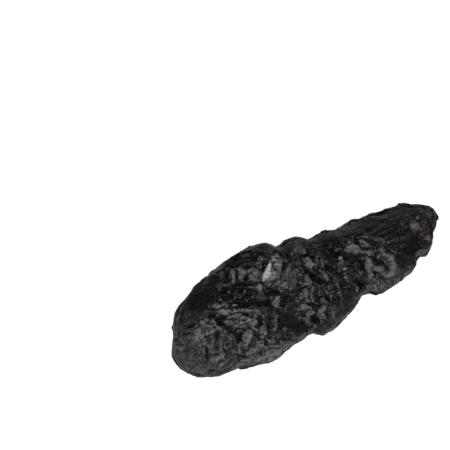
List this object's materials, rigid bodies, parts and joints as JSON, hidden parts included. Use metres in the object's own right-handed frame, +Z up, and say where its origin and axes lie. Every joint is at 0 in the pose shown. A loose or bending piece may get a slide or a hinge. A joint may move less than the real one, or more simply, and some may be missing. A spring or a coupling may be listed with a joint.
{
  "type": "tektite",
  "caption": "Elongated lump of black natural glass, thick and rounded at one end and waisted towards the other, with a pitted, lumpy surface and a worn underside.",
  "frame": {"origin": "on the surface it rests on, under the middle of its outline seen from above", "axes": "+X along the stone, from its thick end to its thin end; +Z up; the broad pitted face leans back from -Y towards +Y"},
  "size_m": [0.066, 0.0224, 0.0191],
  "materials": {
    "black_glass": "satin, opaque black natural glass, duller on weathered patches and glossy on the one chip"
  },
  "bodies": {
    "root": {"tektite": "black_glass"}
  },
  "joints": []
}
